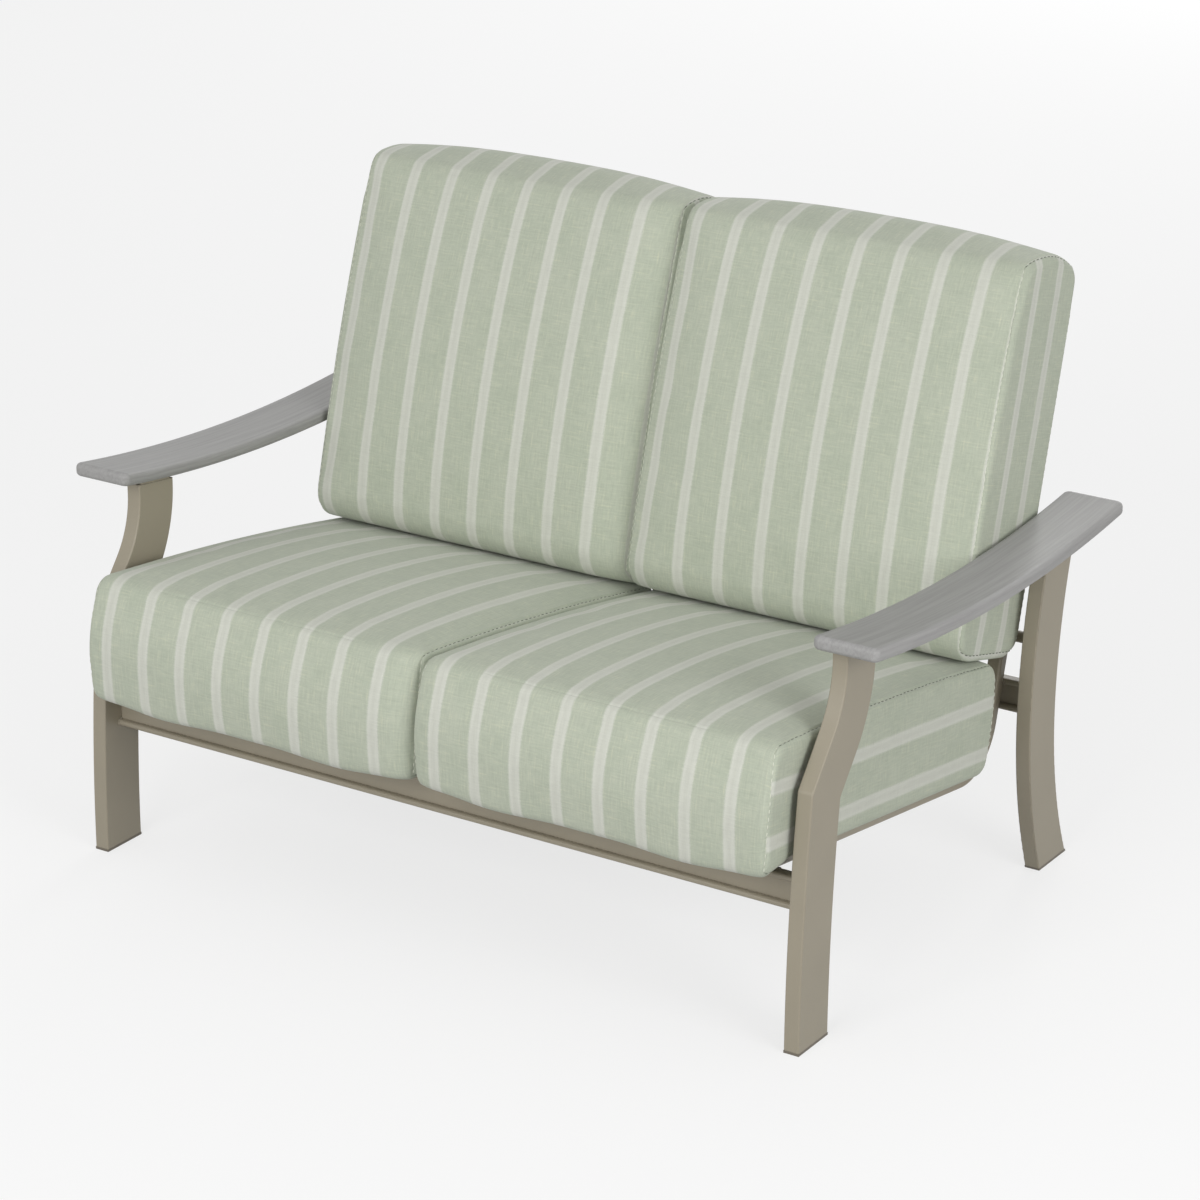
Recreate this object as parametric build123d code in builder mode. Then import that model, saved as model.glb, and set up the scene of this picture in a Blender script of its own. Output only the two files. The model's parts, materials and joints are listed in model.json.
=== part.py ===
import os
from math import asin, cos, hypot, radians, sin, sqrt, tan

from build123d import *

os.makedirs("parts", exist_ok=True)

# Patio loveseat in millimetres. +Z is up, the seat faces -Y, and left and right are as seen from the front.
# The origin is on the floor, under the middle of the overall width and depth.
# Setbacks are measured rearwards from the front edge of the front feet.
frame_half_width = 663.0  # centre plane to the outer faces of the legs
front_foot_y = -434.4
overrun = 12.0  # how far a cut runs past what it cuts

# Legs: flat rectangular tube, bent in the side view
leg_thick = 26.0
leg_depth = 85.0
leg_wall = 2.5
leg_edge_radius = 2.5
shin_radius = 3150.0  # the slight bow of the front leg below its kink
kink_height = 391.0
kink_bend_radius = 12.0
slant_lean = 38.5  # degrees from vertical, above the kink
slant_run = 81.0
shoulder_radius = 200.0
waist_setback = 753.0  # foremost point of the rear leg's centreline
waist_height = 275.0
foot_flare_radius = 700.0
upper_flare_radius = 950.0
glide_height = 4.0
glide_insert = 14.0

# Arms: bull-nosed boards that sag towards the middle
arm_thick = 22.0
arm_width_front = 108.0
arm_width_rear = 104.0
arm_inner_lap_front = 10.0  # how far the board reaches inside the leg's inner face
arm_inner_lap_rear = 13.0
arm_front_overhang = 86.8  # in front of the middle of the front leg's top
arm_rear_overhang = 70.6  # behind the middle of the rear leg's top
arm_low_share = 0.586  # of the board's length, from its front end
arm_low_height = 592.0  # top face at its lowest point
arm_radius = 2900.0
arm_corner_radius = 12.0
arm_nose_radius = 8.0

# Plates that close the leg tops and carry the arms
plate_thick = 4.0
plate_length = 76.0
plate_width = 60.0
plate_corner_radius = 6.0
screw_from_leg = 20.0
screw_pitch = 44.0
screw_radius = 2.4
screw_clearance = 0.1
screw_head_radius = 4.8
screw_head_height = 3.0
screw_bite = 14.0

# Front and rear rails: H extrusion with a hollow bead along each edge
rail_height = 54.0
rail_depth = 22.0
bead_height = 10.0
bead_radius = 4.8
bead_wall = 2.0
web_thick = 4.0
front_rail_setback = 40.0
front_rail_top = 263.0
rear_rail_from_waist = 2.0
rear_rail_top = 320.0
cross_tube_radius = 9.5
cross_tube_wall = 2.0
cross_tube_height = 385.0

# Seat and back rails: one bent tube from the front rail to the top of the back
tube_width = 25.0
tube_height = 22.0
tube_corner_radius = 5.0
tube_wall = 2.0
seat_slope = 8.5  # degrees below horizontal, towards the rear
back_lean = 15.5  # degrees from vertical
tube_bend_radius = 90.0
outer_tube_inset = 59.0  # middle of the outer tubes from the leg's inner face
inner_tube_x = 50.0
tube_front_inset = 4.0  # tube end behind the front face of the front rail
back_frame_length = 590.0  # upright above its seat on the rear rail
cap_thick = 2.0
cap_insert = 10.0

# Support straps
strap_width = 50.0
strap_thick = 2.5
strap_tail = 9.0  # past the middle of the tube that carries it
seat_strap_first = 90.0
seat_strap_pitch = 108.0
seat_strap_count = 5
seat_strap_sag = 14.0
back_strap_first = 150.0
back_strap_pitch = 108.0
back_strap_count = 4
back_strap_sag = 3.5
rivet_radius = 2.4
rivet_head_radius = 5.0
rivet_head_height = 1.2
rivet_tail = 2.0

# Cushions: boxed covers over foam cores
cushion_gap = 0.6  # between the two seats
seat_side_clearance = 9.3  # seat cushion to the leg's inner face
back_side_clearance = 16.7
rest_gap = 0.35
seat_front_overhang = 107.0  # in front of the place where the seat tube leaves the front rail
seat_cushion_depth = 694.0
seat_cushion_thick = 189.0
seat_lip_droop = 16.0  # how far the front edge hangs below the rest of the underside
seat_lip_from_rail = 10.0
seat_top_crown = 14.0
seat_front_crown = 4.0
seat_top_bow = 7.0
seat_front_bow = 10.0
seat_rear_bow = 7.0
seat_bottom_bow = 0.4
seat_front_top_radius = 34.0
seat_front_bottom_radius = 26.0
seat_lip_radius = 60.0
seat_rear_radius = 32.0
back_cushion_height = 624.0
back_depth_low = 217.0
back_depth_top = 191.0
back_front_crown = 13.0
back_top_crown = 18.0
back_front_bow = 8.0
back_top_bow = 10.0
back_rear_bow = 0.4
back_bottom_bow = 0.4
back_front_low_radius = 55.0
back_front_top_radius = 36.0
back_rear_top_radius = 34.0
back_rear_low_radius = 45.0
side_round = 12.0  # rounding from a main panel to a side panel
cover_thick = 14.0  # cover with its fibre wrap
foam_corner_radius = 14.0

# Sections across a cushion, as shares of its half width, with the crown and the sag that each one has
station_shares = (-1.0, -0.66, -0.33, 0.0, 0.33, 0.66, 1.0)
crown_shares = (0.0, 0.64, 0.94, 1.0, 0.94, 0.64, 0.0)
sag_shares = (0.0, 0.0, 0.75, 1.0, 0.75, 0.0, 0.0)

slope = radians(seat_slope)
lean = radians(back_lean)
leg_inner_x = frame_half_width - leg_thick
leg_middle_x = frame_half_width - leg_thick / 2
outer_tube_x = leg_inner_x - outer_tube_inset
seat_cushion_width = leg_inner_x - seat_side_clearance - cushion_gap / 2
back_cushion_width = leg_inner_x - back_side_clearance - cushion_gap / 2


def setback(distance):
    """Y of a place that lies a distance behind the front edge of the front feet."""
    return front_foot_y + distance


def save(piece, name):
    """Label a finished sub-part and write its STEP file."""
    piece.part.label = name
    export_step(piece.part, "parts/" + name + ".step")


# Centreline of the front leg: bow, kink, slanted run, shoulder and the stub under the arm
foot_centre_y = setback(leg_depth / 2)
kink_lean = asin(kink_height / shin_radius)
kink_y = foot_centre_y + shin_radius * (1 - cos(kink_lean))
steep = radians(slant_lean)
shoulder_y = kink_y + slant_run * sin(steep)
shoulder_z = kink_height + slant_run * cos(steep)
stub_y = shoulder_y + shoulder_radius * (1 - cos(steep))
stub_z = shoulder_z + shoulder_radius * sin(steep)
arm_top_limit = arm_low_height + arm_thick + leg_depth

# Middle of the rear leg's top
rear_top_turn = asin((arm_low_height - waist_height) / upper_flare_radius)
rear_stub_y = setback(waist_setback) + upper_flare_radius * (1 - cos(rear_top_turn))
leg_tops = {"front": stub_y, "rear": rear_stub_y}

# Underside and top of the arm boards are arcs about one centre, high above the arm
arm_front_y = stub_y - arm_front_overhang
arm_rear_y = rear_stub_y + arm_rear_overhang
arm_centre_y = arm_front_y + arm_low_share * (arm_rear_y - arm_front_y)
arm_centre_z = arm_low_height + arm_radius
arm_low_radius = arm_radius + arm_thick


def arm_height(y, radius):
    """Height of an arc about the arm's centre."""
    return arm_centre_z - sqrt(radius**2 - (y - arm_centre_y) ** 2)


def arm_underside(y, x):
    """Plane that touches the underside of the arm board at a place."""
    angle = asin((y - arm_centre_y) / arm_low_radius)
    return Plane(
        origin=(x, y, arm_height(y, arm_low_radius)),
        x_dir=(1, 0, 0),
        z_dir=(0, -sin(angle), cos(angle)),
    )


def front_leg_side(shift):
    """Points of one long side of the front leg, shifted rearwards from its centreline."""
    bow = shin_radius - shift
    mitre = (kink_lean + steep) / 2
    reach = shift / cos((steep - kink_lean) / 2)
    round_radius = shoulder_radius + shift
    return [
        (foot_centre_y + shift, 0),
        (foot_centre_y + shin_radius - bow * cos(kink_lean / 2), bow * sin(kink_lean / 2)),
        (kink_y + reach * cos(mitre), kink_height - reach * sin(mitre)),
        (shoulder_y + shift * cos(steep), shoulder_z - shift * sin(steep)),
        (
            stub_y - shoulder_radius + round_radius * cos(steep / 2),
            stub_z - round_radius * sin(steep / 2),
        ),
        (stub_y + shift, stub_z),
        (stub_y + shift, arm_top_limit),
    ]


def front_leg_bar(depth, thickness, floor_z):
    """Bar along the front leg's centreline, from floor_z to above the arm."""
    front = front_leg_side(-depth / 2)
    rear = front_leg_side(depth / 2)
    with BuildPart() as bar:
        with BuildSketch(Plane.YZ.offset(leg_middle_x)):
            with BuildLine():
                for side in (front, rear):
                    Line((side[0][0], floor_z), side[0])
                    ThreePointArc(side[0], side[1], side[2])
                    Line(side[2], side[3])
                    ThreePointArc(side[3], side[4], side[5])
                    Line(side[5], side[6])
                Line((front[0][0], floor_z), (rear[0][0], floor_z))
                Line(front[6], rear[6])
            make_face()
        extrude(amount=thickness / 2, both=True)
        kinks = bar.edges().filter_by(Axis.X).sort_by_distance((leg_middle_x, kink_y, kink_height))
        fillet(kinks[:2], kink_bend_radius)
    return bar.part


def rear_leg_side(shift):
    """Points of one long side of the rear leg: foot, waist and top, with a point on each arc."""
    waist_y = setback(waist_setback)
    low_radius = foot_flare_radius - shift
    high_radius = upper_flare_radius - shift
    low_turn = asin((waist_height + leg_depth) / foot_flare_radius)
    high_turn = asin((arm_top_limit - waist_height) / upper_flare_radius)
    points = [(waist_y + shift, waist_height)]
    for turn, radius, full, side in ((low_turn, low_radius, foot_flare_radius, -1),
                                     (high_turn, high_radius, upper_flare_radius, 1)):
        for angle in (turn / 2, turn):
            points.append((
                waist_y + full - radius * cos(angle),
                waist_height + side * radius * sin(angle),
            ))
    return points


def rear_leg_bar(depth, thickness):
    """Bar along the rear leg's centreline, from under the floor to above the arm."""
    front = rear_leg_side(-depth / 2)
    rear = rear_leg_side(depth / 2)
    with BuildPart() as bar:
        with BuildSketch(Plane.YZ.offset(leg_middle_x)):
            with BuildLine():
                for side in (front, rear):
                    ThreePointArc(side[0], side[1], side[2])
                    ThreePointArc(side[0], side[3], side[4])
                Line(front[2], rear[2])
                Line(front[4], rear[4])
            make_face()
        extrude(amount=thickness / 2, both=True)
    return bar.part


def leg_slab(low, high):
    """Slab between two heights that is wider than any leg."""
    size = frame_half_width * 2
    with BuildPart() as slab:
        with BuildSketch(Plane.XY.offset(low)):
            Rectangle(size * 2, size * 2)
        extrude(amount=high - low)
    return slab.part


def make_leg(bar, core, top_plane, name):
    """Open tube on the right with its glide, and their mirror images on the left."""
    with BuildPart() as tube:
        add(bar)
        fillet(tube.faces().filter_by(Axis.X).edges(), leg_edge_radius)
        add(core, mode=Mode.SUBTRACT)
        split(bisect_by=Plane.XY.offset(glide_height), keep=Keep.TOP)
        split(bisect_by=top_plane, keep=Keep.BOTTOM)
    with BuildPart() as plug:
        add(core)
        add(leg_slab(glide_height, glide_height + glide_insert), mode=Mode.INTERSECT)
    with BuildPart() as glide:
        add(bar)
        add(leg_slab(0, glide_height), mode=Mode.INTERSECT)
        add(plug.part)
    for piece, label in ((tube, name + "_leg"), (glide, name + "_glide")):
        save(piece, label + "_right")
        with BuildPart() as twin:
            mirror(piece.part, about=Plane.YZ)
        save(twin, label + "_left")


core_depth = leg_depth - 2 * leg_wall
core_thick = leg_thick - 2 * leg_wall

make_leg(
    front_leg_bar(leg_depth, leg_thick, -overrun),
    front_leg_bar(core_depth, core_thick, -overrun),
    arm_underside(leg_tops["front"], leg_middle_x).offset(-plate_thick),
    "front",
)
make_leg(
    rear_leg_bar(leg_depth, leg_thick),
    rear_leg_bar(core_depth, core_thick),
    arm_underside(leg_tops["rear"], leg_middle_x).offset(-plate_thick),
    "rear",
)

# Arm plates and the screws that hold the boards down
plate_middle_x = leg_inner_x + plate_width / 2
screw_x = frame_half_width + screw_from_leg
screw_places = [(screw_x - plate_middle_x, side * screw_pitch / 2) for side in (-1, 1)]
for end, y in leg_tops.items():
    seat_plane = arm_underside(y, plate_middle_x)
    with BuildPart() as arm_plate:
        with BuildSketch(seat_plane):
            RectangleRounded(plate_width, plate_length, plate_corner_radius)
            with Locations(*screw_places):
                Circle(screw_radius + screw_clearance, mode=Mode.SUBTRACT)
        extrude(amount=-plate_thick)
    save(arm_plate, end + "_arm_plate_right")
    with BuildPart() as twin_plate:
        mirror(arm_plate.part, about=Plane.YZ)
    save(twin_plate, end + "_arm_plate_left")

with BuildPart() as arm_screws:
    for y in leg_tops.values():
        head_plane = arm_underside(y, plate_middle_x).offset(-plate_thick)
        with BuildSketch(head_plane):
            with Locations(*screw_places):
                Circle(screw_head_radius)
        extrude(amount=-screw_head_height)
        with BuildSketch(head_plane):
            with Locations(*screw_places):
                Circle(screw_radius)
        extrude(amount=plate_thick + screw_bite)
    mirror(about=Plane.YZ)
save(arm_screws, "arm_screws")

# Arm boards
arm_inner_front = leg_inner_x - arm_inner_lap_front
arm_inner_rear = leg_inner_x - arm_inner_lap_rear
with BuildPart() as plan:
    with BuildSketch(Plane.XY.offset(arm_low_height - leg_depth)):
        with BuildLine():
            Polyline(
                (arm_inner_front, arm_front_y),
                (arm_inner_front + arm_width_front, arm_front_y),
                (arm_inner_rear + arm_width_rear, arm_rear_y),
                (arm_inner_rear, arm_rear_y),
                close=True,
            )
        board = make_face()
        fillet(board.vertices(), arm_corner_radius)
    extrude(amount=3 * leg_depth)
with BuildPart() as arm_right:
    with BuildSketch(Plane.YZ.offset(leg_inner_x - leg_depth)):
        with BuildLine():
            for radius in (arm_radius, arm_low_radius):
                ends = [(y, arm_height(y, radius)) for y in (arm_front_y, arm_centre_y, arm_rear_y)]
                ThreePointArc(*ends)
            for y in (arm_front_y, arm_rear_y):
                Line((y, arm_height(y, arm_radius)), (y, arm_height(y, arm_low_radius)))
        make_face()
    extrude(amount=3 * leg_depth)
    add(plan.part, mode=Mode.INTERSECT)
    rims = arm_right.faces().filter_by(
        lambda face: abs(face.normal_at(face.center()).Z) > cos(radians(back_lean))
    )
    fillet(rims.edges(), arm_nose_radius)
    for y in leg_tops.values():
        with BuildSketch(arm_underside(y, plate_middle_x).offset(-plate_thick)):
            with Locations(*screw_places):
                Circle(screw_radius)
        extrude(amount=plate_thick + screw_bite, mode=Mode.SUBTRACT)
save(arm_right, "arm_right")
with BuildPart() as arm_left:
    mirror(arm_right.part, about=Plane.YZ)
save(arm_left, "arm_left")


def make_rail(front_y, top_z, name):
    """H extrusion between the inner faces of two legs."""
    middle_y = front_y + rail_depth / 2
    with BuildPart() as rail:
        with BuildSketch(Plane.YZ.offset(-leg_inner_x)):
            with Locations((middle_y, top_z - bead_height / 2),
                           (middle_y, top_z - rail_height + bead_height / 2)):
                RectangleRounded(rail_depth, bead_height, bead_radius)
            with Locations((middle_y, top_z - rail_height / 2)):
                Rectangle(web_thick, rail_height - bead_height)
            with Locations((middle_y, top_z - bead_height / 2),
                           (middle_y, top_z - rail_height + bead_height / 2)):
                Rectangle(
                    rail_depth - 2 * bead_radius,
                    bead_height - 2 * bead_wall,
                    mode=Mode.SUBTRACT,
                )
        extrude(amount=2 * leg_inner_x)
    save(rail, name)


front_rail_y = setback(front_rail_setback)
rear_rail_y = setback(waist_setback) + rear_rail_from_waist
make_rail(front_rail_y, front_rail_top, "front_rail")
make_rail(rear_rail_y, rear_rail_top, "rear_rail")

# Where the bent tubes touch the rails: on the rear edge of the front rail's top bead,
# and on the front edge of the rear rail's top bead
seat_touch = (
    front_rail_y + rail_depth - bead_radius + bead_radius * sin(slope),
    front_rail_top - bead_radius + bead_radius * cos(slope),
)
back_touch = (
    rear_rail_y + bead_radius - bead_radius * cos(lean),
    rear_rail_top - bead_radius + bead_radius * sin(lean),
)


def seat_point(along, up):
    """Side-view place: rearwards along the seat tubes, and up from their top face."""
    rise = tube_height + up
    return (
        seat_touch[0] + along * cos(slope) + rise * sin(slope),
        seat_touch[1] - along * sin(slope) + rise * cos(slope),
    )


def back_point(along, front):
    """Side-view place: up along the uprights, and forwards from their front face."""
    reach = tube_height + front
    return (
        back_touch[0] + along * sin(lean) - reach * cos(lean),
        back_touch[1] + along * cos(lean) + reach * sin(lean),
    )


# The seat run and the upright meet where their centrelines cross
seat_middle = seat_point(0, -tube_height / 2)
back_middle = back_point(0, -tube_height / 2)
crossing = cos(slope) * cos(lean) + sin(slope) * sin(lean)
seat_run = (
    (back_middle[0] - seat_middle[0]) * cos(lean) - (back_middle[1] - seat_middle[1]) * sin(lean)
) / crossing
corner_point = seat_point(seat_run, -tube_height / 2)
seat_tube_front = (front_rail_y + tube_front_inset - seat_middle[0]) / cos(slope)

# Cross tube behind the uprights
cross_along = (cross_tube_height - back_touch[1] - cross_tube_radius * -sin(lean)) / cos(lean)
cross_centre = back_point(cross_along, -tube_height - cross_tube_radius)
with BuildPart() as cross_tube:
    with BuildSketch(Plane.YZ.offset(-leg_inner_x)):
        with Locations(cross_centre):
            Circle(cross_tube_radius)
            Circle(cross_tube_radius - cross_tube_wall, mode=Mode.SUBTRACT)
    extrude(amount=2 * leg_inner_x)
save(cross_tube, "back_cross_tube")

seat_strap_places = [seat_strap_first + i * seat_strap_pitch for i in range(seat_strap_count)]
back_strap_places = [back_strap_first + i * back_strap_pitch for i in range(back_strap_count)]


def strap_plane(place, x):
    """Plane across a tube's carrying face: X across the seat, Y away from the face, Z along the tube."""
    kind, along = place
    y, z = seat_point(along, 0) if kind == "seat" else back_point(along, 0)
    z_dir = (0, -cos(slope), sin(slope)) if kind == "seat" else (0, -sin(lean), -cos(lean))
    return Plane(origin=(x, y, z), x_dir=(1, 0, 0), z_dir=z_dir)


strap_places = [("seat", along) for along in seat_strap_places]
strap_places += [("back", along) for along in back_strap_places]


def rivet_frame(place, x):
    """Location of a rivet's head seat, with Z out of the tube."""
    plane = strap_plane(place, x)
    return Location(Plane(origin=plane.origin, x_dir=(1, 0, 0), z_dir=plane.y_dir))


def tube_section():
    """Hollow section of the bent tubes, with the width across the seat."""
    RectangleRounded(tube_width, tube_height, tube_corner_radius)
    Rectangle(tube_width - 2 * tube_wall, tube_height - 2 * tube_wall, mode=Mode.SUBTRACT)


def seat_and_back_tube(x, name):
    """Bent tube that carries the seat and back straps, drilled for their rivets."""
    with BuildPart() as tube:
        with BuildLine(Plane.YZ.offset(x)) as path:
            FilletPolyline(
                seat_point(seat_tube_front, -tube_height / 2),
                corner_point,
                back_point(back_frame_length, -tube_height / 2),
                radius=tube_bend_radius,
            )
        with BuildSketch(Plane(origin=path.line @ 0, x_dir=(1, 0, 0), z_dir=path.line % 0)):
            tube_section()
        sweep(path=path.line)
        with Locations(*[rivet_frame(place, x) for place in strap_places]):
            Cylinder(rivet_radius, 2 * (tube_wall + rivet_radius), mode=Mode.SUBTRACT)
    save(tube, name)


tube_places = {
    "outer_left": -outer_tube_x,
    "inner_left": -inner_tube_x,
    "inner_right": inner_tube_x,
    "outer_right": outer_tube_x,
}
for name, x in tube_places.items():
    seat_and_back_tube(x, "seat_back_tube_" + name)

# Plastic caps in the front ends of the bent tubes
with BuildPart() as front_caps:
    for x in tube_places.values():
        y, z = seat_point(seat_tube_front, -tube_height / 2)
        end = Plane(origin=(x, y, z), x_dir=(1, 0, 0), z_dir=(0, -cos(slope), sin(slope)))
        with BuildSketch(end):
            RectangleRounded(tube_width, tube_height, tube_corner_radius)
        extrude(amount=cap_thick)
        with BuildSketch(end):
            Rectangle(tube_width - 2 * tube_wall, tube_height - 2 * tube_wall)
        extrude(amount=-cap_insert)
save(front_caps, "seat_tube_caps")

# Top rail across the uprights, with a cap in each end
top_rail_half = outer_tube_x + tube_width / 2
top_y, top_z = back_point(back_frame_length + tube_height / 2, -tube_height / 2)
across = Plane(origin=(0, top_y, top_z), x_dir=(0, cos(lean), -sin(lean)), z_dir=(1, 0, 0))
with BuildPart() as top_rail:
    with BuildSketch(across.offset(-top_rail_half)):
        RectangleRounded(tube_height, tube_height, tube_corner_radius)
        Rectangle(tube_height - 2 * tube_wall, tube_height - 2 * tube_wall, mode=Mode.SUBTRACT)
    extrude(amount=2 * top_rail_half)
save(top_rail, "back_top_rail")

with BuildPart() as top_caps:
    with BuildSketch(across.offset(top_rail_half)):
        RectangleRounded(tube_height, tube_height, tube_corner_radius)
    extrude(amount=cap_thick)
    with BuildSketch(across.offset(top_rail_half)):
        Rectangle(tube_height - 2 * tube_wall, tube_height - 2 * tube_wall)
    extrude(amount=-cap_insert)
    mirror(about=Plane.YZ)
save(top_caps, "top_rail_caps")

# Straps: flat ends on the tubes and a shallow sag between them
bay_middle_x = (outer_tube_x + inner_tube_x) / 2
bay_half = (outer_tube_x - inner_tube_x) / 2
clear_half = bay_half - tube_width / 2


def make_strap(place, side, sag, name):
    """One strap across a bay, pierced for its two rivets."""
    with BuildPart() as strap:
        with BuildSketch(strap_plane(place, side * bay_middle_x)):
            with BuildLine():
                for level in (0, strap_thick):
                    for end in (-1, 1):
                        Line((end * (bay_half + strap_tail), level), (end * clear_half, level))
                    ThreePointArc((-clear_half, level), (0, level - sag), (clear_half, level))
                for end in (-1, 1):
                    Line((end * (bay_half + strap_tail), 0), (end * (bay_half + strap_tail), strap_thick))
            make_face()
        extrude(amount=strap_width / 2, both=True)
        with Locations(*[rivet_frame(place, side * x) for x in (inner_tube_x, outer_tube_x)]):
            Cylinder(rivet_radius, 2 * (strap_thick + rivet_radius), mode=Mode.SUBTRACT)
    save(strap, name)


for side, hand in ((-1, "left"), (1, "right")):
    for i, along in enumerate(seat_strap_places):
        make_strap(("seat", along), side, seat_strap_sag, f"seat_strap_{hand}_{i + 1}")
    for i, along in enumerate(back_strap_places):
        make_strap(("back", along), side, back_strap_sag, f"back_strap_{hand}_{i + 1}")


def make_rivets(kind, name):
    """Rivets of all straps of one kind: head on the strap, shank through strap and tube wall."""
    shank = strap_thick + tube_wall + rivet_tail
    with BuildPart() as rivets:
        for place in strap_places:
            if place[0] == kind:
                for x in tube_places.values():
                    seat = rivet_frame(place, x)
                    with Locations(seat * Location((0, 0, strap_thick))):
                        Cylinder(rivet_head_radius, rivet_head_height,
                                 align=(Align.CENTER, Align.CENTER, Align.MIN))
                        Cylinder(rivet_radius, shank,
                                 align=(Align.CENTER, Align.CENTER, Align.MAX))
    save(rivets, name)


make_rivets("seat", "seat_strap_rivets")
make_rivets("back", "back_strap_rivets")


def unit(y, z):
    """Direction of a side-view vector."""
    length = hypot(y, z)
    return (y / length, z / length)


def outline(corners, radii, bows):
    """Closed outline with rounded corners; each side bows outwards by its own amount."""
    count = len(corners)
    middle = [sum(point[i] for point in corners) / count for i in (0, 1)]
    leave = []
    arrive = []
    for i, (y, z) in enumerate(corners):
        before = corners[i - 1]
        after = corners[(i + 1) % count]
        back_unit = unit(before[0] - y, before[1] - z)
        ahead_unit = unit(after[0] - y, after[1] - z)
        half_cos = sqrt((1 + back_unit[0] * ahead_unit[0] + back_unit[1] * ahead_unit[1]) / 2)
        half_sin = sqrt(1 - half_cos**2)
        run = radii[i] * half_cos / half_sin
        inward = unit(back_unit[0] + ahead_unit[0], back_unit[1] + ahead_unit[1])
        reach = radii[i] / half_sin - radii[i]
        arrive.append((y + back_unit[0] * run, z + back_unit[1] * run))
        leave.append((y + ahead_unit[0] * run, z + ahead_unit[1] * run))
        ThreePointArc(arrive[i], (y + inward[0] * reach, z + inward[1] * reach), leave[i])
    for i in range(count):
        start = leave[i]
        end = arrive[(i + 1) % count]
        centre = ((start[0] + end[0]) / 2, (start[1] + end[1]) / 2)
        normal = unit(end[1] - start[1], start[0] - end[0])
        if normal[0] * (centre[0] - middle[0]) + normal[1] * (centre[1] - middle[1]) < 0:
            normal = (-normal[0], -normal[1])
        if bows[i]:
            top = (centre[0] + normal[0] * bows[i], centre[1] + normal[1] * bows[i])
            ThreePointArc(start, top, end)
        else:
            Line(start, end)


def shrink(corners, inset):
    """Corners of an outline whose sides are all drawn in by the same inset."""
    drawn = []
    for i, (y, z) in enumerate(corners):
        after_corner = corners[(i + 1) % len(corners)]
        before = unit(corners[i - 1][0] - y, corners[i - 1][1] - z)
        after = unit(after_corner[0] - y, after_corner[1] - z)
        turn = before[0] * after[1] - before[1] * after[0]
        drawn.append((
            y + (before[0] + after[0]) * inset / turn,
            z + (before[1] + after[1]) * inset / turn,
        ))
    return drawn


def seat_corners(drop):
    """Corners of the seat cushion from the front bottom one upwards, its underside lowered by drop."""
    base = strap_thick + rivet_head_height + rest_gap
    front = -seat_front_overhang
    rear = front + seat_cushion_depth
    top = base + seat_cushion_thick
    lip = seat_tube_front - cap_thick - seat_lip_from_rail
    return [
        seat_point(front, base - drop - seat_lip_droop),
        seat_point(front, top),
        seat_point(rear, top),
        seat_point(rear, base - drop),
        seat_point(lip, base - drop),
    ]


# The back cushion stands on the crown of the seat cushion, where that runs level with its underside
seat_top_run = seat_cushion_depth - seat_front_top_radius - seat_rear_radius
seat_top_bulge = seat_top_bow + seat_top_crown
rest_share = min(1, tan(lean - slope) * seat_top_run / (4 * seat_top_bulge))
rest_point = seat_point(
    seat_front_top_radius - seat_front_overhang + (1 + rest_share) * seat_top_run / 2,
    strap_thick + rivet_head_height + rest_gap + seat_cushion_thick
    + seat_top_bulge * (1 - rest_share**2),
)
back_base = (
    (rest_point[0] - back_touch[0]) * sin(lean) + (rest_point[1] - back_touch[1]) * cos(lean)
    + rest_gap + back_bottom_bow
)


def back_corners(swell):
    """Corners of the back cushion from the front bottom one upwards, its rear pushed back by swell."""
    rear = strap_thick + rivet_head_height + rest_gap
    top = back_base + back_cushion_height
    return [
        back_point(back_base, rear + back_depth_low),
        back_point(top, rear + back_depth_top),
        back_point(top, rear - swell),
        back_point(back_base, rear - swell),
    ]


def make_cushion(width, middle_x, corner_rule, sag, radii, bows, crowns, name, foam_name):
    """Crowned cushion shell with its foam core, on the right, and their mirror images on the left."""
    with BuildPart() as cover:
        for place, crown_share, sag_share in zip(station_shares, crown_shares, sag_shares):
            lifts = [bow + crown * crown_share for bow, crown in zip(bows, crowns)]
            with BuildSketch(Plane.YZ.offset(middle_x + place * width / 2)):
                with BuildLine():
                    outline(corner_rule(sag * sag_share), radii, lifts)
                make_face()
        loft()
        fillet(cover.faces().filter_by(Axis.X).edges(), side_round)
    with BuildPart() as foam:
        with BuildSketch(Plane.YZ.offset(middle_x - width / 2 + cover_thick)):
            with BuildLine():
                foam_radii = [max(radius - cover_thick, foam_corner_radius) for radius in radii]
                outline(shrink(corner_rule(0), cover_thick), foam_radii, [0] * len(radii))
            make_face()
        extrude(amount=width - 2 * cover_thick)
    with BuildPart() as shell:
        add(cover.part)
        add(foam.part, mode=Mode.SUBTRACT)
    for piece, label in ((shell, name), (foam, foam_name)):
        save(piece, label + "_right")
        with BuildPart() as twin:
            mirror(piece.part, about=Plane.YZ)
        save(twin, label + "_left")


make_cushion(
    seat_cushion_width,
    (cushion_gap + seat_cushion_width) / 2,
    seat_corners,
    seat_strap_sag,
    [seat_front_bottom_radius, seat_front_top_radius, seat_rear_radius, seat_rear_radius, seat_lip_radius],
    [seat_front_bow, seat_top_bow, seat_rear_bow, 0, seat_bottom_bow],
    [seat_front_crown, seat_top_crown, 0, 0, 0],
    "seat_cushion",
    "seat_foam",
)
make_cushion(
    back_cushion_width,
    (cushion_gap + back_cushion_width) / 2,
    back_corners,
    back_strap_sag,
    [back_front_low_radius, back_front_top_radius, back_rear_top_radius, back_rear_low_radius],
    [back_front_bow, back_top_bow, back_rear_bow, back_bottom_bow],
    [back_front_crown, back_top_crown, 0, 0],
    "back_cushion",
    "back_foam",
)
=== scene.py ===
import json
from math import copysign, cos, pi, radians, sin, tanh

import bmesh
import bpy
from mathutils import Matrix, Vector, noise
from mathutils.bvhtree import BVHTree


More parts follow.
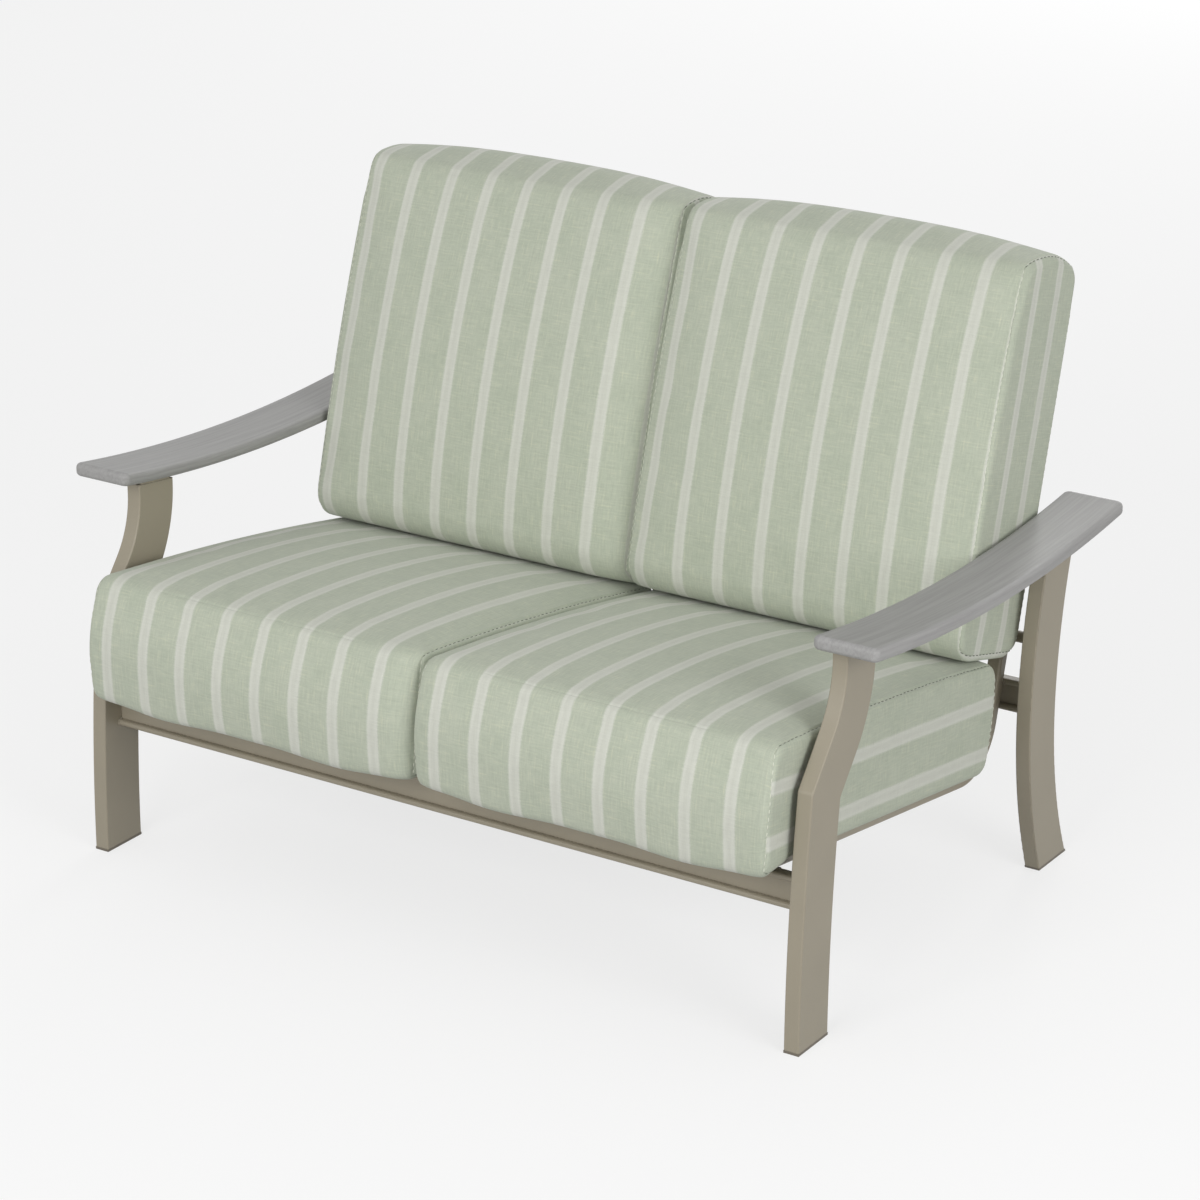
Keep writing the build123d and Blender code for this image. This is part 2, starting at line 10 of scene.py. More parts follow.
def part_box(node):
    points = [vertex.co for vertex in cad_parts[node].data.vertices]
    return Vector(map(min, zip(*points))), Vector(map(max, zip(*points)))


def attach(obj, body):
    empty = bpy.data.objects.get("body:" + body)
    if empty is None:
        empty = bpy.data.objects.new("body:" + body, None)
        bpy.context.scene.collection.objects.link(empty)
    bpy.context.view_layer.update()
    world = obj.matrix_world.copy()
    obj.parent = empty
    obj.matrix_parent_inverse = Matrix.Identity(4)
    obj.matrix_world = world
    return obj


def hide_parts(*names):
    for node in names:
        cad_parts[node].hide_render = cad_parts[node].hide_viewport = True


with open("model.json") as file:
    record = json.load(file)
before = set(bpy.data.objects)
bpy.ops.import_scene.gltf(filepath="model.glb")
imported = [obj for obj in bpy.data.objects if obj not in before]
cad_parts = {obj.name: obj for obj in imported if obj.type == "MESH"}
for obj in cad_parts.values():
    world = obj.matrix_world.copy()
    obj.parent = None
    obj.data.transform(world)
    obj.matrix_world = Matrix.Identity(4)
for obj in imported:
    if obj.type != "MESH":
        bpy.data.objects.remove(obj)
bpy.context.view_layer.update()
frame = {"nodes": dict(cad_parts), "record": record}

scene = bpy.context.scene
scene.view_settings.view_transform = "Standard"

# Cushions: the slopes they lie at, and how their covers are cut
seat_slope = radians(8.5)
back_lean = radians(15.5)
cell = 0.009  # spacing of the cover's mesh away from its seams
crowding_shares = (0.6, 0.4, 0.4)  # how much closer the rows of the mesh are at a seam
panel_wrap = 0.010  # how far the main panel wraps onto the sides
sideways = 0.5  # a face whose normal has more than this along an axis belongs to the panel there

# How far the show face falls away at a side of the cushion, and over what width. Next to the
# other cushion the left-hand ones fall away more, so that the right-hand ones stand over them.
middle_roll = {
    "seat_cushion_left": (0.006, 0.045),
    "seat_cushion_right": (0.006, 0.045),
    "back_cushion_left": (0.034, 0.085),
    "back_cushion_right": (0.012, 0.055),
}
outer_roll = {"seat": (0.004, 0.035), "back": (0.005, 0.045)}
roll_span = (0.35, 0.95)  # shares of the cushion's thickness between which the roll grows
front_roll = {  # the same on the seats' fronts, next to the other seat
    "seat_cushion_left": (0.022, 0.060),
    "seat_cushion_right": (0.006, 0.040),
}
front_roll_span = (0.02, 0.10)  # distances from the front between which it dies away

# Fuller tops of the back cushions, and the drooping front lips of the seats
top_fill = 0.007
top_reach = 0.10  # how far down from its top a back cushion is filled and softened
lip_reach = 0.07  # how far from its lower front edge a seat is softened
softening = {"seat": 14, "back": 16}  # rounds of smoothing there
lip_droop = 0.016  # how far a lip hangs below its solid
lip_start_span = (0.12, 0.66)  # shares of the half width between which the droop grows
lip_end_span = (0.90, 1.04)  # and between which it ends
lip_depth_span = (0.030, 0.110)  # distances from the front between which it dies away
lip_height_span = (0.015, 0.095)  # heights over the underside between which it dies away

# Filling of the covers by pressure
pressure = 4.0
last_frame = 20
cloth_quality = 5
cloth_stiffness = 15
cloth_bending = 0.5
seam_shrink = 0.010
start_inset = 0.004  # the cover starts this much smaller than the filled cushion
nudge = 0.0016  # seeded unevenness of the covers
nudge_scales = (11, 27)
smoothing_rounds = 3
swell_share = 0.16  # share kept of how far the simulation moves the cover
most_swell = 0.006  # how far filling may move the cover
most_drawn_in = 0.0015
resting = -0.3  # a face whose normal has less than this along run or rise lies on something
room_over_seat = 0.004
room_before_back = 0.005
room_aside = 0.002
contact_fade = 0.05  # how far before the back cushions the seats' room ends

# Seams, stitches and stripes
seam_depth = 0.0020
seam_crease = 0.7
stitch_pitch = 0.0115
stitch_length = 0.0076
stitch_radius = 0.0008
stitch_proud = 0.0003
upright_share = 0.7  # thread is pale where its run has more than this up the front, and elsewhere painted dark as shadow in the seam
batch = 16  # small pieces made at a time
stripe_pitch = 0.0745
stripe_width = 0.0195
stripe_blur = 0.0024
first_main_stripe = {  # from the left edge of a main panel
    "seat_cushion_left": 0.042, "seat_cushion_right": 0.045,
    "back_cushion_left": 0.028, "back_cushion_right": 0.031,
}
first_side_stripe = {"seat": 0.066, "back": 0.062}  # from the top or the front of a side panel
side_panel_depth = {"seat": 0.189, "back": 0.2}

# Zips
zip_height = {"seat": 0.285, "back": 0.424}
zip_length = 0.50
zip_tape = 0.022
zip_thickness = 0.0007
zip_edge = 0.0002  # how far the tape's edges stand off the cloth
zip_cuts = (90, 4)
tooth_pitch = 0.0026
tooth_aside = 0.0009
tooth_size = (0.0013, 0.0040, 0.0014)
spare_teeth = 4  # left out, half of them at either end
slider_inset = 0.014
slider_size = (0.009, 0.0075, 0.0028)
slider_lift = 0.0018
slider_bevel = 0.0008
pull_size = (0.0045, 0.019, 0.0010)
pull_drop = 0.011
pull_lift = 0.0016
pull_bevel = 0.0004

# Welds
weld_radius = 0.0019
weld_inset = 0.0008
rail_bead = 0.010  # height of the hollow beads along a rail's edges
rail_bead_radius = 0.0048

# Colours, linear
sage = (0.462, 0.498, 0.402, 1)
sage_shade = (0.438, 0.478, 0.382, 1)
sage_thread = (0.520, 0.520, 0.385, 1)
stone = (0.600, 0.612, 0.545, 1)
stone_core = (0.568, 0.580, 0.512, 1)
taupe = (0.306, 0.272, 0.206, 1)
taupe_edge = (0.120, 0.102, 0.078, 1)
board_grey = (0.300, 0.296, 0.290, 1)
board_dark = (0.235, 0.231, 0.228, 1)
board_light = (0.40, 0.396, 0.388, 1)
webbing_dark = (0.028, 0.027, 0.026, 1)
webbing_light = (0.06, 0.058, 0.055, 1)

# Patterns
stray_share = 0.55  # how strongly stray threads are coloured
raggedness = 0.0045  # of the stripes' edges
stripe_calm = 0.45  # how much of the weave's tone the stripes lose
ribs_per_metre = 500
ripples_per_metre = 420

# The boards' top follows this many times the square of the distance from its lowest place
board_sag = 0.172
board_low_y = 0.110

# Stage and camera
floor_half = 12
floor_pale = (0.85, 0.85, 0.85, 1)  # as the camera sees it
floor_dull = (0.50, 0.50, 0.50, 1)  # as it lights the object
floor_glow = 0.70
white = (1, 1, 1, 1)
sky_light = 0.54
camera_place = (3.2235, -4.8878, 2.7021)
camera_drop = radians(21.18)
camera_turn = radians(33.127)
camera_lens = 118.5


# Shader nodes

def add_node(tree, kind, inputs=None, **settings):
    """Node with its settings, and each input either linked or set."""
    made = tree.nodes.new(kind)
    for key, value in settings.items():
        setattr(made, key, value)
    for key, value in (inputs or {}).items():
        if isinstance(value, bpy.types.NodeSocket):
            tree.links.new(value, made.inputs[key])
        else:
            made.inputs[key].default_value = value
    return made


def maths(tree, operation, *values):
    """Output of a Math node."""
    return add_node(tree, "ShaderNodeMath", dict(enumerate(values)), operation=operation).outputs[0]


def ramp(tree, value, low, high, to_low=0.0, to_high=1.0):
    """Value moved smoothly from one span to another."""
    spans = {"From Min": low, "From Max": high, "To Min": to_low, "To Max": to_high}
    made = add_node(
        tree, "ShaderNodeMapRange", {"Value": value, **spans}, interpolation_type="SMOOTHSTEP")
    return made.outputs["Result"]


def mix_colour(tree, share, first, second):
    """Colour between two colours."""
    inputs = {0: share, 6: first, 7: second}  # the colour sockets of a Mix node
    return add_node(tree, "ShaderNodeMix", inputs, data_type="RGBA").outputs[2]


def stretched_noise(tree, vector, scale, detail=3.0, roughness=0.5):
    """Noise stretched by a different scale along each axis."""
    mapped = add_node(tree, "ShaderNodeMapping", {"Vector": vector, "Scale": scale})
    inputs = {"Vector": mapped.outputs[0], "Scale": 1.0, "Detail": detail, "Roughness": roughness}
    return add_node(tree, "ShaderNodeTexNoise", inputs).outputs["Fac"]


def new_group(name, inputs, outputs):
    """Empty node group with named sockets, its input node and its output node."""
    tree = bpy.data.node_groups.new(name, "ShaderNodeTree")
    for label, kind, value in inputs:
        socket = tree.interface.new_socket(label, in_out="INPUT", socket_type=kind)
        if value is not None:
            socket.default_value = value
    for label, kind in outputs:
        tree.interface.new_socket(label, in_out="OUTPUT", socket_type=kind)
    return tree, tree.nodes.new("NodeGroupInput"), tree.nodes.new("NodeGroupOutput")


def use_group(tree, group, inputs):
    """Group node placed in a material, with its inputs linked or set."""
    return add_node(tree, "ShaderNodeGroup", inputs, node_tree=group)


def make_weave_group():
    """Slubbed plain weave: tone around one, a mask of stray threads, and height."""
    tree, given, out = new_group(
        "weave",
        [("Cloth", "NodeSocketVector", None), ("Threads per Metre", "NodeSocketFloat", 620.0),
         ("Slub", "NodeSocketFloat", 0.34)],
        [("Tone", "NodeSocketFloat"), ("Stray Threads", "NodeSocketFloat"),
         ("Height", "NodeSocketFloat")],
    )
    cloth = given.outputs["Cloth"]
    parts = add_node(tree, "ShaderNodeSeparateXYZ", {0: cloth})
    waves = []
    for side in ("X", "Y"):
        turned = maths(tree, "MULTIPLY", parts.outputs[side], given.outputs["Threads per Metre"])
        waves.append(maths(tree, "SINE", maths(tree, "MULTIPLY", turned, 2 * pi)))
    crossing = maths(tree, "MULTIPLY", waves[0], waves[1])
    across = stretched_noise(tree, cloth, (30, 400, 1), 4, 0.6)
    down = stretched_noise(tree, cloth, (400, 30, 1), 4, 0.6)
    blots = stretched_noise(tree, cloth, (260, 260, 1), 3, 0.6)
    blot = maths(tree, "MULTIPLY_ADD", blots, 0.4, 0.3)
    stray = maths(tree, "MAXIMUM", ramp(tree, across, 0.56, 0.74), ramp(tree, down, 0.56, 0.74))
    slubs = maths(tree, "ADD", maths(tree, "ADD", across, down), blot)
    centred = maths(tree, "SUBTRACT", slubs, 1.5)
    tone = maths(tree, "MULTIPLY_ADD", centred, given.outputs["Slub"], 1.0)
    height = maths(tree, "MULTIPLY_ADD", crossing, 0.22, centred)
    tree.links.new(tone, out.inputs["Tone"])
    tree.links.new(stray, out.inputs["Stray Threads"])
    tree.links.new(height, out.inputs["Height"])
    return tree


def make_edge_group():
    """Mask that is one along sharp edges."""
    tree, given, out = new_group(
        "sharp_edges",
        [("Width", "NodeSocketFloat", 0.002)],
        [("Mask", "NodeSocketFloat")],
    )
    rounded = add_node(tree, "ShaderNodeBevel", {"Radius": given.outputs["Width"]}, samples=6)
    flat = add_node(tree, "ShaderNodeNewGeometry")
    product = add_node(
        tree, "ShaderNodeVectorMath",
        {0: rounded.outputs[0], 1: flat.outputs["Normal"]}, operation="DOT_PRODUCT",
    )
    mask = ramp(tree, product.outputs["Value"], 0.99, 0.91)
    tree.links.new(mask, out.inputs["Mask"])
    return tree


def make_speckle_group():
    """Fine unevenness of a sprayed or moulded surface: tone around one, and height."""
    tree, given, out = new_group(
        "surface_speckle",
        [("Place", "NodeSocketVector", None), ("Grain per Metre", "NodeSocketFloat", 900.0)],
        [("Tone", "NodeSocketFloat"), ("Height", "NodeSocketFloat")],
    )
    place, grain = given.outputs["Place"], given.outputs["Grain per Metre"]
    fine = add_node(tree, "ShaderNodeTexNoise", {"Vector": place, "Scale": grain, "Detail": 2.0})
    broad = add_node(tree, "ShaderNodeTexNoise", {"Vector": place, "Scale": 9.0, "Detail": 3.0})
    both = maths(tree, "ADD", fine.outputs["Fac"], broad.outputs["Fac"])
    tone = maths(tree, "MULTIPLY_ADD", maths(tree, "SUBTRACT", both, 1.0), 0.12, 1.0)
    tree.links.new(tone, out.inputs["Tone"])
    tree.links.new(fine.outputs["Fac"], out.inputs["Height"])
    return tree


weave_group = make_weave_group()
edge_group = make_edge_group()
speckle_group = make_speckle_group()


def new_material(name, **constants):
    """Material with its Principled BSDF, whose plain values are set on the shader."""
    material = bpy.data.materials.new(name)
    material.use_nodes = True
    tree = material.node_tree
    shader = tree.nodes["Principled BSDF"]
    for key, value in constants.items():
        shader.inputs[key.replace("_", " ")].default_value = value
    return material, tree, shader


def add_bump(tree, shader, height, strength, distance):
    """Bump on the shader's normal."""
    inputs = {"Height": height, "Strength": strength, "Distance": distance}
    bump = add_node(tree, "ShaderNodeBump", inputs)
    tree.links.new(bump.outputs[0], shader.inputs["Normal"])


def add_colour(tree, shader, colour, tone):
    """Base colour made lighter or darker by a tone around one."""
    toned = add_node(tree, "ShaderNodeVectorMath", {0: colour, "Scale": tone}, operation="SCALE")
    tree.links.new(toned.outputs[0], shader.inputs["Base Color"])


def object_place(tree):
    """Object coordinates."""
    return add_node(tree, "ShaderNodeTexCoord").outputs["Object"]


def make_cover_material():
    """Striped outdoor canvas, with the pattern on the cloth's own map."""
    material, tree, shader = new_material(
        "striped_canvas", Roughness=0.88, Sheen_Weight=0.18, Sheen_Roughness=0.5)
    shader.inputs["Specular IOR Level"].default_value = 0.25
    cloth = add_node(tree, "ShaderNodeUVMap", uv_map="cloth").outputs[0]
    weave = use_group(tree, weave_group, {"Cloth": cloth})
    across = add_node(tree, "ShaderNodeSeparateXYZ", {0: cloth}).outputs["X"]
    turn = maths(tree, "DIVIDE", across, stripe_pitch)
    from_line = maths(tree, "ABSOLUTE", maths(tree, "SUBTRACT", turn, maths(tree, "ROUND", turn)))
    distance = maths(tree, "MULTIPLY", from_line, stripe_pitch)
    wander = stretched_noise(tree, cloth, (900, 260, 1), 2)
    wandered = maths(tree, "SUBTRACT", wander, 0.5)
    ragged = maths(tree, "MULTIPLY_ADD", wandered, raggedness, distance)
    half = stripe_width / 2
    stripe = ramp(tree, ragged, half + stripe_blur, half - stripe_blur)
    core = ramp(tree, ragged, 0.001, half - stripe_blur)
    clouds = stretched_noise(tree, cloth, (18, 11, 1), 4)
    ground = mix_colour(tree, ramp(tree, clouds, 0.3, 0.7), sage, sage_shade)
    strays = maths(tree, "MULTIPLY", weave.outputs["Stray Threads"], stray_share)
    threaded = mix_colour(tree, strays, ground, sage_thread)
    band = mix_colour(tree, core, stone_core, stone)
    colour = mix_colour(tree, stripe, threaded, band)
    calmed = maths(tree, "MULTIPLY", stripe, stripe_calm)
    inputs = {0: calmed, 2: weave.outputs["Tone"], 3: 1.0}  # the value sockets of a Mix node
    evened = add_node(tree, "ShaderNodeMix", inputs, data_type="FLOAT")
    add_colour(tree, shader, colour, evened.outputs[0])
    add_bump(tree, shader, weave.outputs["Height"], 0.45, 0.0007)
    return material


def make_paint_material():
    """Satin powder coat, darker in a thin line along sharp edges."""
    material, tree, shader = new_material("taupe_powder_coat", Roughness=0.42)
    place = object_place(tree)
    speckle = use_group(tree, speckle_group, {"Place": place, "Grain per Metre": 1400.0})
    edges = use_group(tree, edge_group, {"Width": 0.0026})
    streaks = stretched_noise(tree, place, (260, 260, 12), 3)
    gaps = ramp(tree, streaks, 0.3, 0.55, 0.3, 0.95)
    broken = maths(tree, "MULTIPLY", edges.outputs["Mask"], gaps)
    colour = mix_colour(tree, broken, taupe, taupe_edge)
    add_colour(tree, shader, colour, speckle.outputs["Tone"])
    roughness = ramp(tree, speckle.outputs["Height"], 0.2, 0.8, 0.36, 0.50)
    tree.links.new(roughness, shader.inputs["Roughness"])
    add_bump(tree, shader, speckle.outputs["Height"], 0.25, 0.0004)
    return material


def make_board_material():
    """Moulded grey board with a brushed lengthwise grain, and a painted highlight along its sharp
    edges.
    """
    material, tree, shader = new_material("brushed_grey_board", Roughness=0.5)
    place = object_place(tree)
    parts = add_node(tree, "ShaderNodeSeparateXYZ", {0: place})
    lengthwise = maths(tree, "SUBTRACT", parts.outputs["Y"], board_low_y)
    sag = maths(tree, "MULTIPLY", maths(tree, "MULTIPLY", lengthwise, lengthwise), board_sag)
    level = maths(tree, "SUBTRACT", parts.outputs["Z"], sag)
    inputs = {0: parts.outputs["X"], 1: parts.outputs["Y"], 2: level}
    along_board = add_node(tree, "ShaderNodeCombineXYZ", inputs).outputs[0]
    hairs = stretched_noise(tree, along_board, (1100, 24, 700), 4, 0.65)
    bands = stretched_noise(tree, along_board, (240, 5, 160), 4, 0.6)
    grain = maths(tree, "MULTIPLY_ADD", bands, 0.6, maths(tree, "MULTIPLY", hairs, 0.4))
    colour = mix_colour(tree, ramp(tree, grain, 0.34, 0.66), board_dark, board_light)
    softened = mix_colour(tree, 0.45, board_grey, colour)
    # Painted highlight: the colour is lighter along the sharp edges, where they catch the light.
    edges = use_group(tree, edge_group, {"Width": 0.003})
    painted_edge_highlight = maths(tree, "MULTIPLY", edges.outputs["Mask"], 0.35)
    wear_and_highlight = mix_colour(tree, painted_edge_highlight, softened, board_light)
    tree.links.new(wear_and_highlight, shader.inputs["Base Color"])
    tree.links.new(ramp(tree, hairs, 0.3, 0.7, 0.42, 0.60), shader.inputs["Roughness"])
    add_bump(tree, shader, hairs, 0.3, 0.0003)
    return material


def make_moulded_material(name, colour, roughness, grain):
    """Moulded plastic or foam with a fine grain."""
    material, tree, shader = new_material(name, Roughness=roughness)
    place = object_place(tree)
    speckle = use_group(tree, speckle_group, {"Place": place, "Grain per Metre": grain})
    add_colour(tree, shader, colour[:3], speckle.outputs["Tone"])
    add_bump(tree, shader, speckle.outputs["Height"], 0.3, 0.0003)
    return material


def make_weld_material():
    """Painted weld with the ripple of its puddles."""
    material, tree, shader = new_material("painted_weld", Roughness=0.45)
    place = object_place(tree)
    speckle = use_group(tree, speckle_group, {"Place": place, "Grain per Metre": 700.0})
    add_colour(tree, shader, taupe[:3], speckle.outputs["Tone"])
    parts = add_node(tree, "ShaderNodeSeparateXYZ", {0: place})
    walked = maths(tree, "ADD", parts.outputs["Y"], parts.outputs["Z"])
    ripple = maths(tree, "SINE", maths(tree, "MULTIPLY", walked, 2 * pi * ripples_per_metre))
    add_bump(tree, shader, maths(tree, "ADD", ripple, speckle.outputs["Height"]), 0.6, 0.0006)
    return material


def make_metal_material(name, colour, roughness):
    """Bare fastener metal with fine scratches."""
    material, tree, shader = new_material(name, Metallic=1.0, Roughness=roughness)
    place = object_place(tree)
    scratches = stretched_noise(tree, place, (2500, 300, 2500), 3)
    scratched = tuple(0.75 * c for c in colour[:3]) + (1,)
    tree.links.new(mix_colour(tree, scratches, colour, scratched), shader.inputs["Base Color"])
    wear_and_highlight = ramp(tree, scratches, 0.3, 0.7, roughness * 0.8, roughness * 1.3)
    tree.links.new(wear_and_highlight, shader.inputs["Roughness"])
    return material


def make_webbing_material():
    """Elastic webbing: ribs along the strap, crossed by fine threads."""
    material, tree, shader = new_material("webbing", Roughness=0.8, Sheen_Weight=0.2)
    place = object_place(tree)
    weave = use_group(tree, weave_group, {"Cloth": place, "Threads per Metre": 420.0, "Slub": 0.3})
    across = add_node(tree, "ShaderNodeSeparateXYZ", {0: place}).outputs["X"]
    ribs = maths(tree, "SINE", maths(tree, "MULTIPLY", across, 2 * pi * ribs_per_metre))
    colour = mix_colour(tree, ramp(tree, ribs, -1, 1), webbing_dark, webbing_light)
    add_colour(tree, shader, colour, weave.outputs["Tone"])
    add_bump(tree, shader, maths(tree, "ADD", weave.outputs["Height"], ribs), 0.4, 0.0006)
    return material


slot_materials = {
    "cover_fabric": make_cover_material(),
    "frame_paint": make_paint_material(),
    "arm_board": make_board_material(),
    "black_plastic": make_moulded_material("black_nylon", (0.028, 0.028, 0.028, 1), 0.45, 1600.0),
    "cushion_foam": make_moulded_material("foam", (0.75, 0.70, 0.55, 1), 0.9, 500.0),
    "strap_webbing": make_webbing_material(),
    "rivet_metal": make_metal_material("rivet_aluminium", (0.66, 0.66, 0.66, 1), 0.38),
    "screw_steel": make_metal_material("screw_steel", (0.55, 0.55, 0.55, 1), 0.28),
}
pale_thread = make_moulded_material("pale_thread", (0.66, 0.68, 0.58, 1), 0.7, 2500.0)
# Painted shadow: the same pale thread, coloured dark where the seams do not run up the front.
thread_painted_shadow = make_moulded_material("thread_painted_shadow", (0.15, 0.17, 0.13, 1), 0.7, 2500.0)
tape_material = make_moulded_material("zip_tape", (0.30, 0.335, 0.255, 1), 0.85, 1500.0)
tooth_material = make_moulded_material("zip_teeth", (0.42, 0.46, 0.36, 1), 0.4, 1500.0)
weld_material = make_weld_material()
glide_material = make_moulded_material("taupe_nylon", (0.15, 0.13, 0.10, 1), 0.5, 1600.0)

for part in frame["record"]["subparts"]:
    mesh = frame["nodes"][part["node"]].data
    mesh.materials.clear()
    is_glide = "glide" in part["node"]
    mesh.materials.append(glide_material if is_glide else slot_materials[part["material_slot"]])


def new_piece(name, mesh):
    """Object of its own for a finished mesh."""
    piece = bpy.data.objects.new(name, mesh)
    scene.collection.objects.link(piece)
    return piece


# Cushions

class Cushion:
    """Where one cushion lies, and its axes: X across it, run up or back along it, and rise."""

    def __init__(self, kind, hand):
        self.kind = kind
        self.node = f"{kind}_cushion_{hand}"
        self.foam = f"{kind}_foam_{hand}"
        self.body = f"{kind}_{hand}"
        if kind == "seat":
            self.run = Vector((0, cos(seat_slope), -sin(seat_slope)))
            self.rise = Vector((0, sin(seat_slope), cos(seat_slope)))
        else:
            self.run = Vector((0, sin(back_lean), cos(back_lean)))
            self.rise = Vector((0, -cos(back_lean), sin(back_lean)))
        self.axes = (Vector((1, 0, 0)), self.run, self.rise)


def outer_shell(node_name):
    """The outside of a cover's solid, without its cavity."""
    shell = bmesh.new()
    shell.from_mesh(frame["nodes"][node_name].data)
    bmesh.ops.remove_doubles(shell, verts=shell.verts, dist=1e-5)
    start = min(shell.verts, key=lambda vert: vert.co.y)
    found = {start}
    waiting = [start]
    while waiting:
        for edge in waiting.pop().link_edges:
            for vert in edge.verts:
                if vert not in found:
                    found.add(vert)
                    waiting.append(vert)
    cavity = [vert for vert in shell.verts if vert not in found]
    bmesh.ops.delete(shell, geom=cavity, context="VERTS")
    return shell


def crowd(place, axis):
    """Place from -1 to 1 moved so that rows lie closer together near both ends."""
    share = crowding_shares[axis]
    return place * (1 - share) + share * sin(pi / 2 * place)


def box_grid(cuts):
    """Cube from -1 to 1, cut evenly along each axis."""
    grid = bmesh.new()
    bmesh.ops.create_cube(grid, size=2)
    for axis, count in enumerate(cuts):
        parallel = [edge for edge in grid.edges
                    if abs(edge.verts[0].co[axis] - edge.verts[1].co[axis]) > 1e-6]
        bmesh.ops.subdivide_edges(grid, edges=parallel, cuts=count, use_grid_fill=True)
    return grid


def lay_cloth_map(grid, cushion, low, high):
    """Map in metres whose first axis runs across the stripes. Side panels have their own."""
    layer = grid.loops.layers.uv.new("cloth")
    size = high - low
    for face in grid.faces:
        normal = face.normal
        for loop in face.loops:
            x, run, rise = (
                low[i] + (crowd(loop.vert.co[i], i) + 1) / 2 * size[i] for i in range(3))
            across = x - low.x - first_main_stripe[cushion.node]
            if abs(normal.x) > sideways:
                share = (crowd(loop.vert.co.z, 2) + 1) / 2
                depth = side_panel_depth[cushion.kind] * (1 - share)
                across = depth - first_side_stripe[cushion.kind]
                along = run + copysign(1, normal.x)
            elif abs(normal.y) > sideways:
                along = copysign(size.y / 2, normal.y) + normal.y * (high.z - rise)
            else:
                turn = run - low.y - size.y / 2
                along = turn if normal.z > 0 else 2 * size.y - turn
            loop[layer].uv = (across, along)


def fade(value, start, end):
    """From 0 at start to 1 at end."""
    share = min(1, max(0, (value - start) / (end - start)))
    return share * share * (3 - 2 * share)


def lip_hang(cushion, place, low, high):
    """How far the seat's front lip hangs below its solid, so that it is even from end to end."""
    aside = abs(2 * (place.x - low.x) / (high.x - low.x) - 1)
    hollow = fade(aside, *lip_start_span) * (1 - fade(aside, *lip_end_span))
    front = 1 - fade(place.dot(cushion.run) - low.y, *lip_depth_span)
    below = 1 - fade(place.dot(cushion.rise) - low.z, *lip_height_span)
    return lip_droop * hollow * front * below


def roll_off(cushion, place, low, high):
    """How far the show face falls away towards the sides of the cushion."""
    depth = high.z - low.z
    shown = fade(place.dot(cushion.rise) - low.z, roll_span[0] * depth, roll_span[1] * depth)
    edges = [place.x - low.x, high.x - place.x]
    if high.x > 0:
        edges.reverse()
    drop = 0
    for edge, (fall, width) in zip(edges, (outer_roll[cushion.kind], middle_roll[cushion.node])):
        drop += fall * max(0, 1 - edge / width) ** 2
    return drop * shown


def front_fall(cushion, place, low, high):
    """How far the front of a seat cushion falls back towards its neighbour."""
    fall, width = front_roll[cushion.node]
    edge = place.x - low.x if high.x > 0 else high.x - place.x
    front = 1 - fade(place.dot(cushion.run) - low.y, *front_roll_span)
    return fall * front * max(0, 1 - edge / width) ** 2


def start_cover(cushion):
    """Cover on a grid that follows its panels, laid on the outside of the cushion's solid."""
    shell = outer_shell(cushion.node)
    tree = BVHTree.FromBMesh(shell)
    spans = [[vert.co.dot(axis) for vert in shell.verts] for axis in cushion.axes]
    low = Vector(min(span) for span in spans)
    high = Vector(max(span) for span in spans)
    shell.free()
    grid = box_grid([round((high[i] - low[i]) / cell) for i in range(3)])
    lay_cloth_map(grid, cushion, low, high)
    seams = grid.edges.layers.int.new("seam_line")
    for edge in grid.edges:
        is_side = [abs(face.normal.x) > sideways for face in edge.link_faces]
        edge[seams] = len(is_side) == 2 and is_side[0] != is_side[1]
    middle = (low + high) / 2
    for vert in grid.verts:
        half = (high - low) / 2
        if abs(vert.co.x) > 1 - 1e-6:
            half -= Vector((0, panel_wrap, panel_wrap))
        place = [middle[i] + crowd(vert.co[i], i) * half[i] for i in range(3)]
        world = sum((axis * value for axis, value in zip(cushion.axes, place)), Vector())
        vert.co = tree.find_nearest(world)[0]
        if cushion.kind == "seat":
            vert.co -= cushion.rise * lip_hang(cushion, vert.co, low, high)
            vert.co += cushion.run * front_fall(cushion, vert.co, low, high)
        vert.co -= cushion.rise * roll_off(cushion, vert.co, low, high)
        if cushion.kind == "back":
            near_top = fade(vert.co.dot(cushion.run), high.y - top_reach, high.y)
            vert.co += cushion.run * top_fill * near_top
    if cushion.kind == "back":
        soft = [vert for vert in grid.verts if vert.co.dot(cushion.run) > high.y - top_reach]
    else:
        soft = [vert for vert in grid.verts if vert.co.dot(cushion.run) < low.y + lip_reach
                and vert.co.dot(cushion.rise) < low.z + lip_reach]
    for _ in range(softening[cushion.kind]):
        bmesh.ops.smooth_vert(grid, verts=soft, factor=0.5, use_axis_y=True, use_axis_z=True)
    grid.normal_update()
    mesh = bpy.data.meshes.new(cushion.node + "_cover")
    grid.to_mesh(mesh)
    grid.free()
    mesh.materials.append(slot_materials["cover_fabric"])
    for face in mesh.polygons:
        face.use_smooth = True
    return new_piece(cushion.node + "_cover", mesh)


def seam_verts(mesh):
    """Indices of the vertices on the seams."""
    flags = mesh.attributes["seam_line"].data
    return sorted({i for edge in mesh.edges if flags[edge.index].value for i in edge.vertices})


def allowance(cushion, place, normal):
    """How far the cover may stand out at a place: nothing where it rests on something."""
    inner = -copysign(1, place.x)
    if normal.x * inner > sideways:
        return 0.0
    if cushion.kind == "seat":
        if normal.dot(cushion.rise) < resting:
            return 0.0
        under_back = min(1, max(0, (place.y - contact_start) / contact_fade))
        return room_over_seat * (1 - under_back)
    if normal.dot(cushion.rise) < resting or normal.dot(cushion.run) < resting:
        return 0.0
    return room_aside if abs(normal.x) > sideways else room_before_back


contact_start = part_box("back_cushion_right")[0].y - contact_fade


